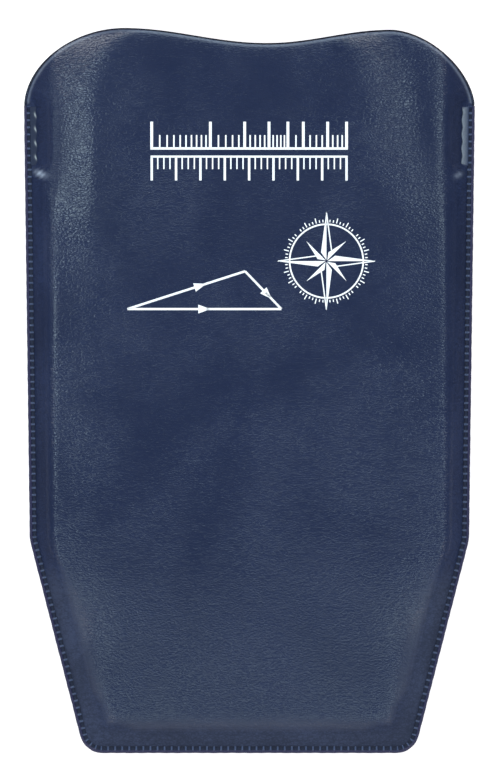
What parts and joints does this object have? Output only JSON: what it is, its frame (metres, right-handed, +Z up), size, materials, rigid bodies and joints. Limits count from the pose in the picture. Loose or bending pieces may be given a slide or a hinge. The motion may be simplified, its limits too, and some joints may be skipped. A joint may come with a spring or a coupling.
{
  "type": "slide-type flight computer in a pouch",
  "caption": "Circular slide rule and wind computer with a sliding grid, stowed in a welded soft pouch with a tapered foot and an open, dipped mouth.",
  "frame": {"origin": "centre of the pouch's outline, on the flat outer face of the back sheet that it lies on", "axes": "+Y towards the pouch's open mouth, +Z up through the thickness and out of the front face, +X to the right when the front is looked at with the mouth up"},
  "size_m": [0.1554, 0.25, 0.007],
  "materials": {
    "leatherette": "grained vinyl leatherette, navy, soft semi-gloss",
    "lining": "smooth thin vinyl, matt",
    "weld": "melted vinyl, glossy",
    "frame_plastic": "ivory sheet plastic, printed, satin",
    "disc_plastic": "white sheet plastic, printed, satin",
    "slide_plastic": "white sheet plastic, printed, satin",
    "clear_plastic": "clear sheet plastic with one frosted face for pencil",
    "nickel": "nickel plate, bright",
    "felt": "thin pressed felt"
  },
  "bodies": {
    "pouch": {"back_panel": "leatherette", "front_panel": "leatherette", "back_lining": "lining", "front_lining": "lining", "edge_weld": "weld", "mouth_weld_left": "weld", "mouth_weld_right": "weld"},
    "computer": {"wind_plate": "frame_plastic", "rail_left": "frame_plastic", "rail_right": "frame_plastic", "calculator_plate": "frame_plastic", "fixed_scale_plate": "frame_plastic", "azimuth_retaining_ring": "nickel", "disc_friction_washer": "felt", "pivot_eyelet": "nickel", "frame_eyelets": "nickel"},
    "disc": {"calculator_disc": "disc_plastic"},
    "azimuth": {"azimuth_ring": "disc_plastic", "plotting_window": "clear_plastic", "window_centre_eyelet": "nickel"},
    "slide": {"wind_slide": "slide_plastic"}
  },
  "joints": [
    {"name": "computer_draw", "type": "slide", "parent": "pouch", "child": "computer", "axis": [0, 1, 0], "range_m": [0, 0.25]},
    {"name": "disc_spin", "type": "hinge", "parent": "computer", "child": "disc", "pos_m": [0, 0.038, 0.005], "axis": [0, 0, 1], "continuous": true},
    {"name": "azimuth_spin", "type": "hinge", "parent": "computer", "child": "azimuth", "pos_m": [0, 0.038, 0.002], "axis": [0, 0, 1], "continuous": true},
    {"name": "slide_travel", "type": "slide", "parent": "computer", "child": "slide", "axis": [0, 1, 0], "range_m": [0, 0.15]}
  ]
}
